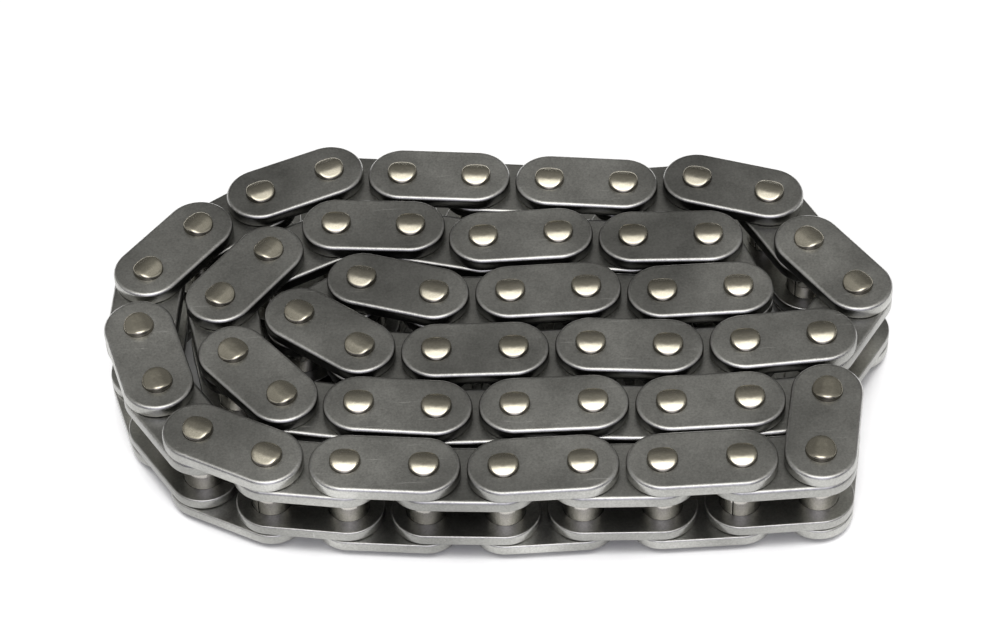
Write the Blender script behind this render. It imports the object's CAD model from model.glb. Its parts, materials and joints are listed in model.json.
import bpy
import json
import math
from mathutils import Matrix, Vector


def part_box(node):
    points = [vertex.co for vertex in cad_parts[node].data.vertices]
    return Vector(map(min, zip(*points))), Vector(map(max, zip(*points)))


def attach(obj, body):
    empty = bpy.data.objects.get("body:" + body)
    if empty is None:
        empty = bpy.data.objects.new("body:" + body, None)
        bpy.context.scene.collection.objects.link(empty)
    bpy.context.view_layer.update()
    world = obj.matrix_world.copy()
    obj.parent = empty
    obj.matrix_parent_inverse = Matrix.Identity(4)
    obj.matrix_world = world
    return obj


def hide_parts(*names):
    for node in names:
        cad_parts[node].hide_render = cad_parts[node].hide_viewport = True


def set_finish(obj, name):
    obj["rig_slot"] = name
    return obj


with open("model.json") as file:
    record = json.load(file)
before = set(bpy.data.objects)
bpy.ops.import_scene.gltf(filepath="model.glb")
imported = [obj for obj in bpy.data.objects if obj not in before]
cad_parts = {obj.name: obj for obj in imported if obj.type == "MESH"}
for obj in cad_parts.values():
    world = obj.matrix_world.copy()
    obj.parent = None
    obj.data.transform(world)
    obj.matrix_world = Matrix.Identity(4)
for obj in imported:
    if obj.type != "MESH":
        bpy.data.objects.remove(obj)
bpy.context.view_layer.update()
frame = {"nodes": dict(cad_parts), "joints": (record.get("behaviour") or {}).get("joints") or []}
print("frame loaded:", len(frame["nodes"]), "nodes")

# sizes in mm, in a link's own frame: X along the link, Z along its pins, zero in the middle
chain = {"links": 54, "pitch": 9.525, "innerWidth": 4.9, "sidePlay": 0.15, "closing": 11,
         "drivenPin": 43, "openPin": 22}
half = chain["pitch"] / 2
slack = 0.001  # for picking verts by their place


def startPiece():
    if bpy.context.object and bpy.context.object.mode != "OBJECT":
        bpy.ops.object.mode_set(mode="OBJECT")
    bpy.ops.object.select_all(action="DESELECT")


def pickVerts(piece, test):
    bpy.ops.mesh.select_all(action="DESELECT")
    bpy.ops.object.mode_set(mode="OBJECT")
    for vert in piece.data.vertices:
        vert.select = test(vert.co)
    bpy.ops.object.mode_set(mode="EDIT")


def editAll(mode="VERT"):
    bpy.ops.object.mode_set(mode="EDIT")
    bpy.ops.mesh.select_mode(type=mode)
    bpy.ops.mesh.select_all(action="SELECT")


def cut(piece, tool, operation):
    bpy.context.view_layer.objects.active = piece
    change = piece.modifiers.new("cut", "BOOLEAN")
    change.operation = operation
    change.solver = "EXACT"
    change.object = tool
    bpy.ops.object.modifier_apply(modifier="cut")
    bpy.data.objects.remove(tool, do_unlink=True)


def softenEdges(piece, width, steps, angle):
    bpy.context.view_layer.objects.active = piece
    change = piece.modifiers.new("soften", "BEVEL")
    change.width = width
    change.segments = steps
    change.limit_method = "ANGLE"
    change.angle_limit = math.radians(angle)
    bpy.ops.object.modifier_apply(modifier="soften")


def smooth(piece, angle):
    startPiece()
    piece.select_set(True)
    bpy.context.view_layer.objects.active = piece
    bpy.ops.object.shade_smooth_by_angle(angle=math.radians(angle))


def joined(pieces):
    startPiece()
    for piece in pieces:
        piece.select_set(True)
    bpy.context.view_layer.objects.active = pieces[0]
    if len(pieces) > 1:
        bpy.ops.object.join()
    return bpy.context.object


def copied(piece, matrix):
    twin = piece.copy()
    twin.data = piece.data.copy()
    twin.data.transform(matrix)
    bpy.context.scene.collection.objects.link(twin)
    return twin


plateSet = {"height": 8.8, "thick": 1.7, "arc": 64, "flatWithin": 0.5, "land": 0.1, "smoothTo": 35,
            "rim": 0.46, "rimSteps": 5, "backRim": 0.2, "backSteps": 3,
            "outerBore": 1.82, "innerBore": 2.57, "boreSides": 40, "boreDepth": 6}


def roundRim(plate, test, width, steps):
    bpy.ops.mesh.select_mode(type="VERT")
    pickVerts(plate, test)
    bpy.ops.mesh.select_mode(type="EDGE")
    bpy.ops.mesh.bevel(offset=width, segments=steps, affect="EDGES")


def makePlate(name, boreRadius):
    thick = plateSet["thick"]
    startPiece()
    bpy.ops.mesh.primitive_circle_add(vertices=plateSet["arc"], radius=plateSet["height"] / 2, fill_type="NGON")
    plate = bpy.context.object
    plate.name = name
    editAll()
    bpy.ops.transform.translate(value=(-half, 0, 0))
    bpy.ops.mesh.bisect(plane_co=(-half, 0, 0), plane_no=(1, 0, 0), clear_outer=True)
    pickVerts(plate, lambda co: co.x > -half - slack)
    bpy.ops.mesh.extrude_region_move(TRANSFORM_OT_translate={"value": (half, 0, 0)})
    bpy.ops.object.mode_set(mode="OBJECT")
    other = plate.modifiers.new("other", "MIRROR")  # second end
    other.use_clip = True
    bpy.ops.object.modifier_apply(modifier="other")
    editAll()
    bpy.ops.mesh.dissolve_limited(angle_limit=math.radians(plateSet["flatWithin"]))
    bpy.ops.mesh.select_all(action="SELECT")
    bpy.ops.mesh.extrude_region_move(TRANSFORM_OT_translate={"value": (0, 0, thick)})
    bpy.ops.mesh.select_all(action="SELECT")
    bpy.ops.mesh.normals_make_consistent(inside=False)
    roundRim(plate, lambda co: co.z > thick - slack, plateSet["rim"], plateSet["rimSteps"])
    roundRim(plate, lambda co: co.z < slack, plateSet["backRim"], plateSet["backSteps"])
    bpy.ops.mesh.select_mode(type="FACE")
    bpy.ops.mesh.select_all(action="DESELECT")
    bpy.ops.mesh.select_face_by_sides(number=8, type="GREATER")
    bpy.ops.mesh.inset(thickness=plateSet["land"], depth=0)  # keeps the flat flat when smoothed
    bpy.ops.object.mode_set(mode="OBJECT")
    for side in (-half, half):
        startPiece()
        bpy.ops.mesh.primitive_cylinder_add(vertices=plateSet["boreSides"], radius=boreRadius,
                                            depth=plateSet["boreDepth"], location=(side, 0, 0))
        cut(plate, bpy.context.object, "DIFFERENCE")
    smooth(plate, plateSet["smoothTo"])
    return plate


# rings of a head: radius and height above the plate, from its foot to its flat top
pinSet = {"radius": 1.8, "bodySides": 56, "inHeads": 0.3, "sides": 16, "levels": 2, "smoothTo": 40,
          "flat": 0.6, "slope": 0.39, "corner": 0.1, "lowest": 0.1, "wallRing": 3, "ringSlack": 0.005,
          "rings": [(1.96, 0.02), (1.98, 0.04), (1.95, 0.08), (1.94, 0.54),
                    (1.78, 0.74), (1.48, 0.81), (0.95, 0.81), (0.6, 0.81)]}


def makePin(name):
    top = chain["innerWidth"] / 2 + chain["sidePlay"] + 2 * plateSet["thick"]  # outer face of an outer plate
    rings = pinSet["rings"]
    wall = pinSet["wallRing"]
    near = pinSet["ringSlack"]
    startPiece()
    bpy.ops.mesh.primitive_circle_add(vertices=pinSet["sides"], radius=rings[0][0], fill_type="NGON")
    head = bpy.context.object
    editAll("FACE")
    bpy.ops.transform.translate(value=(0, 0, rings[0][1]))
    for (wide, low), (narrow, high) in zip(rings, rings[1:]):
        bpy.ops.mesh.extrude_region_move(TRANSFORM_OT_translate={"value": (0, 0, high - low)})
        bpy.ops.transform.resize(value=(narrow / wide, narrow / wide, 1))
    bpy.ops.mesh.select_mode(type="VERT")
    for radius, height in rings[wall:]:  # staked from both sides, which leaves a flat strip between two slopes
        for step in range(pinSet["sides"] // 4 + 1):
            turn = step * 2 * math.pi / pinSet["sides"]
            across = radius * math.sin(turn)
            along = radius * math.cos(turn)
            roof = rings[-1][1] - pinSet["slope"] * max(0, across - pinSet["flat"])
            if height < rings[wall + 1][1]:  # the slopes end in a point
                roof = max(pinSet["lowest"], roof - pinSet["corner"] * max(0, across - along))
            pickVerts(head, lambda co: abs(co.xy.length - radius) < near and abs(abs(co.y) - across) < near)
            bpy.ops.transform.translate(value=(0, 0, min(0, roof - height)))
    pickVerts(head, lambda co: co.z < rings[0][1] + slack)
    bpy.ops.mesh.select_mode(type="EDGE")
    bpy.ops.transform.edge_crease(value=1)
    bpy.ops.mesh.select_all(action="SELECT")
    bpy.ops.transform.translate(value=(0, 0, top))
    bpy.ops.mesh.normals_make_consistent(inside=False)
    bpy.ops.object.mode_set(mode="OBJECT")
    rounded = head.modifiers.new("rounded", "SUBSURF")
    rounded.levels = pinSet["levels"]
    bpy.ops.object.modifier_apply(modifier="rounded")
    startPiece()
    head.select_set(True)
    bpy.context.view_layer.objects.active = head
    bpy.ops.object.duplicate()
    foot = bpy.context.object
    editAll()
    bpy.ops.transform.rotate(value=math.pi, orient_axis="X", center_override=(0, 0, 0))
    startPiece()
    bpy.ops.mesh.primitive_cylinder_add(vertices=pinSet["bodySides"], radius=pinSet["radius"],
                                        depth=2 * top + pinSet["inHeads"])
    pin = bpy.context.object
    pin.name = name
    cut(pin, head, "UNION")
    cut(pin, foot, "UNION")
    smooth(pin, pinSet["smoothTo"])
    return pin


bushSet = {"outer": 2.55, "inner": 1.85, "seam": 3.0, "seamTurn": 65, "steps": 44,
           "edge": 0.05, "edgeSteps": 2, "edgeFrom": 50, "smoothTo": 40}


def makeBush(name):
    length = chain["innerWidth"] + 2 * plateSet["thick"]
    startPiece()
    bpy.ops.mesh.primitive_plane_add(size=1)
    bush = bpy.context.object
    bush.name = name
    editAll()
    bpy.ops.transform.resize(value=(bushSet["outer"] - bushSet["inner"], length, 1))
    bpy.ops.transform.rotate(value=math.pi / 2, orient_axis="X", center_override=(0, 0, 0))
    bpy.ops.transform.translate(value=((bushSet["outer"] + bushSet["inner"]) / 2, 0, 0))
    bpy.ops.transform.rotate(value=math.radians(bushSet["seam"] / 2), orient_axis="Z", center_override=(0, 0, 0))
    turn = math.radians(360 - bushSet["seam"])
    bpy.ops.mesh.spin(steps=bushSet["steps"], angle=-turn, center=(0, 0, 0), axis=(0, 0, 1))
    bpy.ops.mesh.select_all(action="SELECT")
    bpy.ops.mesh.remove_doubles(threshold=slack)
    bpy.ops.mesh.normals_make_consistent(inside=False)
    bpy.ops.object.mode_set(mode="OBJECT")
    softenEdges(bush, bushSet["edge"], bushSet["edgeSteps"], bushSet["edgeFrom"])
    smooth(bush, bushSet["smoothTo"])
    return bush


outerPlate = makePlate("outerPlate", plateSet["outerBore"])
innerPlate = makePlate("innerPlate", plateSet["innerBore"])
chainPin = makePin("chainPin")
chainBush = makeBush("chainBush")
patterns = (outerPlate, innerPlate, chainPin, chainBush)
print("pieces modelled:", [len(pattern.data.polygons) for pattern in patterns])

pinSpots = {}
for joint in frame["joints"]:
    number = chain["drivenPin"] if joint["name"] == "fold_out" else int(joint["name"].split("_")[1])
    pinSpots[number] = Vector(joint["pos_m"])
pinLow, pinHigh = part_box("closing_pin_right")
pinSpots[chain["openPin"]] = (pinLow + pinHigh) / 2  # the pivot that closes the loop has no joint of its own


def linkFrame(number):
    start = pinSpots[number]
    end = pinSpots[number % chain["links"] + 1]
    along = end - start
    turn = Matrix.Rotation(math.atan2(along.y, along.x), 4, "Z")
    return Matrix.Translation((start + end) / 2) @ turn @ Matrix.Scale(0.001, 4)  # mm to m


innerZ = chain["innerWidth"] / 2
outerZ = innerZ + plateSet["thick"] + chain["sidePlay"]
flip = Matrix.Rotation(math.pi, 4, "X")
made = []


def twoPlates(plate, place, height):
    lift = Matrix.Translation((0, 0, height))
    return [copied(plate, place @ lift), copied(plate, place @ flip @ lift)]


def keep(pieces, name, body, node, slotName):
    whole = joined(pieces)
    whole.name = name
    whole.data.name = name
    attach(whole, body)
    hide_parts(node)
    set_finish(whole, slotName)
    made.append(whole)


for pair in range(1, chain["links"] // 2 + 1):
    tag = f"{pair:02d}"
    place = linkFrame(2 * pair - 1)
    plates = twoPlates(outerPlate, place, outerZ)
    pins = [copied(chainPin, place @ Matrix.Translation((side, 0, 0))) for side in (-half, half)]
    if pair == chain["closing"]:
        for piece, node in zip(plates, ("closing_plate_top", "closing_plate_bottom")):
            keep([piece], node.replace("closing_", "closingOuter_"), "closing_outer_link", node, "outer_link_steel")
        for piece, node in zip(pins, ("closing_pin_left", "closing_pin_right")):
            keep([piece], node.replace("closing_", "closingOuter_"), "closing_outer_link", node, "pin_steel")
    else:
        keep(plates, "outerPlates_" + tag, "outer_link_" + tag, "outer_link_" + tag, "outer_link_steel")
        keep(pins, "pins_" + tag, "outer_link_" + tag, "outer_link_" + tag, "pin_steel")
    place = linkFrame(2 * pair)
    plates = twoPlates(innerPlate, place, innerZ)
    seam = math.radians(bushSet["seamTurn"])
    seams = (-seam, seam if pair % 3 == 1 else -seam)  # most rolled edges face one way
    bushes = [copied(chainBush, place @ Matrix.Translation((side, 0, 0)) @ Matrix.Rotation(turn, 4, "Z"))
              for side, turn in zip((-half, half), seams)]
    if pair == chain["closing"]:
        for piece, node in zip(plates, ("next_plate_top", "next_plate_bottom")):
            keep([piece], node.replace("next_", "closingInner_"), "closing_inner_link", node, "inner_link_steel")
        for piece, node in zip(bushes, ("next_bush_left", "next_bush_right")):
            keep([piece], node.replace("next_", "closingInner_"), "closing_inner_link", node, "bush_steel")
    else:
        keep(plates, "innerPlates_" + tag, "inner_link_" + tag, "inner_link_" + tag, "inner_link_steel")
        keep(bushes, "bushes_" + tag, "inner_link_" + tag, "inner_link_" + tag, "bush_steel")
for pattern in patterns:
    bpy.data.objects.remove(pattern, do_unlink=True)
print("links placed:", len(made), "pieces")


def addNode(tree, kind, **values):
    node = tree.nodes.new(kind)
    for key, value in values.items():
        setattr(node, key, value)
    return node


def feed(tree, source, target):
    if isinstance(source, (int, float, tuple)):
        target.default_value = source
    else:
        tree.links.new(source, target)


def mathNode(tree, operation, first, second=0, clamp=False):
    node = addNode(tree, "ShaderNodeMath", operation=operation, use_clamp=clamp)
    feed(tree, first, node.inputs[0])
    feed(tree, second, node.inputs[1])
    return node.outputs[0]


def plus(tree, first, second, clamp=False):
    return mathNode(tree, "ADD", first, second, clamp)


def minus(tree, first, second):
    return mathNode(tree, "SUBTRACT", first, second)


def times(tree, first, second, clamp=False):
    return mathNode(tree, "MULTIPLY", first, second, clamp)


def mapRange(tree, value, low, high, toLow=0, toHigh=1):
    node = addNode(tree, "ShaderNodeMapRange", clamp=True)
    feed(tree, value, node.inputs["Value"])
    for key, number in zip(("From Min", "From Max", "To Min", "To Max"), (low, high, toLow, toHigh)):
        feed(tree, number, node.inputs[key])
    return node.outputs["Result"]


def mixColors(tree, blend, factor, first, second):
    node = addNode(tree, "ShaderNodeMix", data_type="RGBA", blend_type=blend)
    for key, value in zip(("Factor", "A", "B"), (factor, first, second)):
        feed(tree, value, node.inputs[key])
    return node.outputs["Result"]


def noise(tree, vector, scale, detail, rough):
    node = addNode(tree, "ShaderNodeTexNoise")
    for key, value in zip(("Vector", "Scale", "Detail", "Roughness"), (vector, scale, detail, rough)):
        feed(tree, value, node.inputs[key])
    return node.outputs["Fac"]


def scratchLines(tree, vector, turn, stretch, cutoff):
    bend = addNode(tree, "ShaderNodeMapping")
    feed(tree, vector, bend.inputs["Vector"])
    feed(tree, (0, 0, math.radians(turn)), bend.inputs["Rotation"])
    feed(tree, stretch, bend.inputs["Scale"])
    return mapRange(tree, noise(tree, bend.outputs["Vector"], 1, 2, 0.6), cutoff, cutoff + 0.05)


# noises are scale, detail and roughness; scratches are turn, stretch and cutoff
wearSet = {"stain": (260, 4, 0.6), "grain": (3800, 3, 0.65), "fine": (11000, 2, 0.6), "pits": (1900, 2, 0.5),
           "batch": (62, 1, 0.5), "batchSpread": 0.3, "stainShare": 0.42, "grainShare": 0.58,
           "pitShare": 0.35, "pitColor": (0.35, 0.33, 0.3, 1), "lineShare": 0.4, "lineColor": (0.75, 0.74, 0.72, 1),
           "roughSpread": 0.22, "lineRough": 0.08, "grainHigh": 0.6, "fineHigh": 0.25, "pitDeep": 0.5, "lineDeep": 0.35,
           "scratches": [(23, (90, 5200, 300), 0.70), (-52, (70, 4300, 300), 0.72), (81, (110, 6100, 300), 0.73)]}


def wearGroup():
    group = bpy.data.node_groups.new("tumbledSteel", "ShaderNodeTree")
    for name, kind in (("Vector", "NodeSocketVector"), ("Dark", "NodeSocketColor"), ("Light", "NodeSocketColor"),
                       ("Roughness", "NodeSocketFloat"), ("Wear", "NodeSocketFloat")):
        group.interface.new_socket(name, in_out="INPUT", socket_type=kind)
    for name, kind in (("Color", "NodeSocketColor"), ("Roughness", "NodeSocketFloat"), ("Height", "NodeSocketFloat")):
        group.interface.new_socket(name, in_out="OUTPUT", socket_type=kind)
    start = addNode(group, "NodeGroupInput")
    end = addNode(group, "NodeGroupOutput")
    vector = start.outputs["Vector"]
    wear = start.outputs["Wear"]
    stain = noise(group, vector, *wearSet["stain"])
    grain = noise(group, vector, *wearSet["grain"])
    fine = noise(group, vector, *wearSet["fine"])
    pits = mapRange(group, noise(group, vector, *wearSet["pits"]), 0.68, 0.76)
    spread = wearSet["batchSpread"]
    batch = mapRange(group, noise(group, vector, *wearSet["batch"]), 0.34, 0.66, -spread, spread)
    lines = 0
    for scratches in wearSet["scratches"]:
        lines = mathNode(group, "MAXIMUM", lines, scratchLines(group, vector, *scratches))
    mottle = plus(group, times(group, stain, wearSet["stainShare"]), times(group, grain, wearSet["grainShare"]))
    color = mixColors(group, "MIX", mapRange(group, mottle, 0.36, 0.64), start.outputs["Dark"], start.outputs["Light"])
    pitted = times(group, times(group, pits, wear), wearSet["pitShare"])
    color = mixColors(group, "MULTIPLY", pitted, color, wearSet["pitColor"])
    scratched = times(group, times(group, lines, wear), wearSet["lineShare"])
    color = mixColors(group, "SCREEN", scratched, color, wearSet["lineColor"])
    tone = plus(group, times(group, batch, wear), 1)  # no two links quite alike
    feed(group, mixColors(group, "MULTIPLY", 1, color, tone), end.inputs["Color"])
    rough = plus(group, start.outputs["Roughness"], times(group, minus(group, mottle, 0.5), wearSet["roughSpread"]))
    rough = plus(group, rough, times(group, lines, wearSet["lineRough"]), clamp=True)
    feed(group, rough, end.inputs["Roughness"])
    height = plus(group, times(group, grain, wearSet["grainHigh"]), times(group, fine, wearSet["fineHigh"]))
    height = minus(group, height, times(group, pits, wearSet["pitDeep"]))
    height = minus(group, height, times(group, lines, wearSet["lineDeep"]))
    feed(group, height, end.inputs["Height"])
    return group


tumbled = wearGroup()

# oil stays between the strands: an ellipse over the fold, in m
foldSet = {"halfWidth": 0.046, "halfDepth": 0.027, "inside": 0.80, "outside": 1.10}


def insideFold(tree, where):
    parts = addNode(tree, "ShaderNodeSeparateXYZ")
    feed(tree, where, parts.inputs[0])
    across = mathNode(tree, "POWER", mathNode(tree, "DIVIDE", parts.outputs["X"], foldSet["halfWidth"]), 2)
    deep = mathNode(tree, "POWER", mathNode(tree, "DIVIDE", parts.outputs["Y"], foldSet["halfDepth"]), 2)
    return minus(tree, 1, mapRange(tree, plus(tree, across, deep), foldSet["inside"], foldSet["outside"]))


# how upright a face is tells sides, rubbed rims and flats apart
faceSet = {"side": (0.35, 0.8), "sideColor": (0.1, 0.1, 0.1, 1), "rimFrom": (0.45, 0.7), "rimTo": (0.9, 0.985),
           "rimColor": (0.8, 0.79, 0.76, 1), "rub": (1500, 2, 0.6), "rubLeast": 0.45, "relief": 0.00002}


def steel(look):
    material = bpy.data.materials.new(look["name"])
    material.use_nodes = True
    tree = material.node_tree
    shader = tree.nodes["Principled BSDF"]
    coords = addNode(tree, "ShaderNodeTexCoord")
    where = coords.outputs["Object"]
    worn = addNode(tree, "ShaderNodeGroup", node_tree=tumbled)
    feed(tree, where, worn.inputs["Vector"])
    feed(tree, (*look["dark"], 1), worn.inputs["Dark"])
    feed(tree, (*look["light"], 1), worn.inputs["Light"])
    feed(tree, look["roughness"], worn.inputs["Roughness"])
    feed(tree, look["wear"], worn.inputs["Wear"])
    facing = addNode(tree, "ShaderNodeSeparateXYZ")
    feed(tree, coords.outputs["Normal"], facing.inputs[0])
    upright = mathNode(tree, "ABSOLUTE", facing.outputs["Z"])
    rim = times(tree, mapRange(tree, upright, *faceSet["rimFrom"]), mapRange(tree, upright, *faceSet["rimTo"], 1, 0))
    rub = mapRange(tree, noise(tree, where, *faceSet["rub"]), 0.3, 0.6, faceSet["rubLeast"], 1)
    rubbed = times(tree, times(tree, rim, rub), look["rim"])
    color = mixColors(tree, "SCREEN", rubbed, worn.outputs["Color"], faceSet["rimColor"])
    oiled = times(tree, insideFold(tree, where), look["film"])
    side = times(tree, mapRange(tree, upright, *faceSet["side"], 1, 0), plus(tree, oiled, look["steep"]), clamp=True)
    color = mixColors(tree, "MULTIPLY", side, color, faceSet["sideColor"])
    feed(tree, color, shader.inputs["Base Color"])
    feed(tree, worn.outputs["Roughness"], shader.inputs["Roughness"])
    shader.inputs["Metallic"].default_value = 1
    relief = addNode(tree, "ShaderNodeBump")
    relief.inputs["Strength"].default_value = look["bump"]
    relief.inputs["Distance"].default_value = faceSet["relief"]
    feed(tree, worn.outputs["Height"], relief.inputs["Height"])
    feed(tree, relief.outputs["Normal"], shader.inputs["Normal"])
    return material


lookSet = {
    "outer_link_steel": {"name": "outerPlateSteel", "dark": (0.43, 0.43, 0.405), "light": (0.65, 0.65, 0.615),
                         "roughness": 0.34, "wear": 1.0, "bump": 0.9, "steep": 0.18, "film": 0.7, "rim": 0.7},
    "inner_link_steel": {"name": "innerPlateSteel", "dark": (0.36, 0.36, 0.34), "light": (0.54, 0.54, 0.51),
                         "roughness": 0.32, "wear": 0.8, "bump": 0.8, "steep": 0.18, "film": 0.7, "rim": 0.7},
    "pin_steel": {"name": "pinSteel", "dark": (0.68, 0.64, 0.52), "light": (0.80, 0.75, 0.62),
                  "roughness": 0.17, "wear": 0.5, "bump": 0.2, "steep": 0.85, "film": 0, "rim": 0},
    "bush_steel": {"name": "bushSteel", "dark": (0.46, 0.445, 0.41), "light": (0.57, 0.55, 0.51),
                   "roughness": 0.11, "wear": 0.6, "bump": 0.2, "steep": 0, "film": 0, "rim": 0},
}
steels = {slotName: steel(look) for slotName, look in lookSet.items()}
for piece in made:
    piece.data.materials.clear()
    piece.data.materials.append(steels[piece["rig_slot"]])
print("materials set")

# floor: white in the open, dark where the chain closes it in
floorSet = {"size": 6, "matte": (0.8, 0.8, 0.8, 1), "glow": 0.68, "least": 0.02,
            "reach": 0.04, "samples": 16, "closedIn": 0.36, "open": 0.56}
startPiece()
bpy.ops.mesh.primitive_plane_add(size=floorSet["size"], location=(0, 0, 0))
floor = bpy.context.object
floor.name = "floor"
floorLook = bpy.data.materials.new("floorWhite")
floorLook.use_nodes = True
tree = floorLook.node_tree
tree.nodes.clear()
out = addNode(tree, "ShaderNodeOutputMaterial")
both = addNode(tree, "ShaderNodeAddShader")
matte = addNode(tree, "ShaderNodeBsdfDiffuse")
matte.inputs["Color"].default_value = floorSet["matte"]
glow = addNode(tree, "ShaderNodeEmission")
shut = addNode(tree, "ShaderNodeAmbientOcclusion", samples=floorSet["samples"])
shut.inputs["Distance"].default_value = floorSet["reach"]
lit = mapRange(tree, shut.outputs["AO"], floorSet["closedIn"], floorSet["open"], floorSet["least"], floorSet["glow"])
feed(tree, lit, glow.inputs["Strength"])
feed(tree, matte.outputs[0], both.inputs[0])
feed(tree, glow.outputs[0], both.inputs[1])
feed(tree, both.outputs[0], out.inputs["Surface"])
floor.data.materials.append(floorLook)

# sky: dark behind the chain, a bright panel overhead, softer light in front; stops run from behind to in front
skySet = {"stops": [(0.0, 0.08), (0.24, 0.135), (0.30, 0.215), (0.36, 0.28), (0.42, 0.52), (0.48, 1.1),
                    (0.53, 2.3), (0.645, 2.3), (0.69, 1.1), (0.80, 0.8), (1.0, 0.6)],
          "green": 0.985, "warmBlue": 0.955, "coolBlue": 1.15, "coolFrom": 0.66,
          "flankFrom": 0.16, "flankTo": 0.5, "flankDim": 0.82, "dimFrom": 0.34, "dimTo": 0.46}
world = bpy.data.worlds.new("studio")
bpy.context.scene.world = world
world.use_nodes = True
tree = world.node_tree
tree.nodes.clear()
out = addNode(tree, "ShaderNodeOutputWorld")
back = addNode(tree, "ShaderNodeBackground")
coords = addNode(tree, "ShaderNodeTexCoord")
parts = addNode(tree, "ShaderNodeSeparateXYZ")
feed(tree, coords.outputs["Generated"], parts.inputs[0])
angle = mathNode(tree, "ARCTAN2", parts.outputs["Z"], parts.outputs["Y"])
ramp = addNode(tree, "ShaderNodeValToRGB")
feed(tree, mathNode(tree, "DIVIDE", angle, math.pi, clamp=True), ramp.inputs["Fac"])
band = ramp.color_ramp
while len(band.elements) < len(skySet["stops"]):
    band.elements.new(0.5)
for element, (spot, level) in zip(band.elements, skySet["stops"]):
    blue = skySet["warmBlue"] if spot < skySet["coolFrom"] else skySet["coolBlue"]
    element.position = spot
    element.color = (level, level * skySet["green"], level * blue, 1)
sideways = mathNode(tree, "ABSOLUTE", parts.outputs["X"])
flank = mapRange(tree, sideways, skySet["flankFrom"], skySet["flankTo"], 0, skySet["flankDim"])
ahead = mapRange(tree, mathNode(tree, "DIVIDE", angle, math.pi), skySet["dimFrom"], skySet["dimTo"])
side = minus(tree, 1, times(tree, flank, ahead))  # the panel is narrow
seen = addNode(tree, "ShaderNodeLightPath").outputs["Is Camera Ray"]  # white past the floor
feed(tree, mixColors(tree, "MIX", seen, ramp.outputs["Color"], (1, 1, 1, 1)), back.inputs["Color"])
feed(tree, mathNode(tree, "MAXIMUM", side, seen), back.inputs["Strength"])
feed(tree, back.outputs[0], out.inputs["Surface"])

# camera: the photo's own angle
shot = {"tilt": 48.4708, "roll": 2.4065, "distance": 0.425329, "target": (0.0000735, -0.0018828, 0.0131),
        "lens": 123.42, "sensor": 36, "nearest": 0.01}
lensData = bpy.data.cameras.new("camera")
lensData.lens = shot["lens"]
lensData.sensor_width = shot["sensor"]
lensData.clip_start = shot["nearest"]
camera = bpy.data.objects.new("camera", lensData)
bpy.context.scene.collection.objects.link(camera)
aim = Matrix.Rotation(math.radians(90 - shot["tilt"]), 4, "X") @ Matrix.Rotation(math.radians(-shot["roll"]), 4, "Z")
camera.matrix_world = Matrix.Translation(shot["target"]) @ aim @ Matrix.Translation((0, 0, shot["distance"]))
bpy.context.scene.camera = camera
bpy.context.scene.view_settings.view_transform = "Standard"
print("stage set")
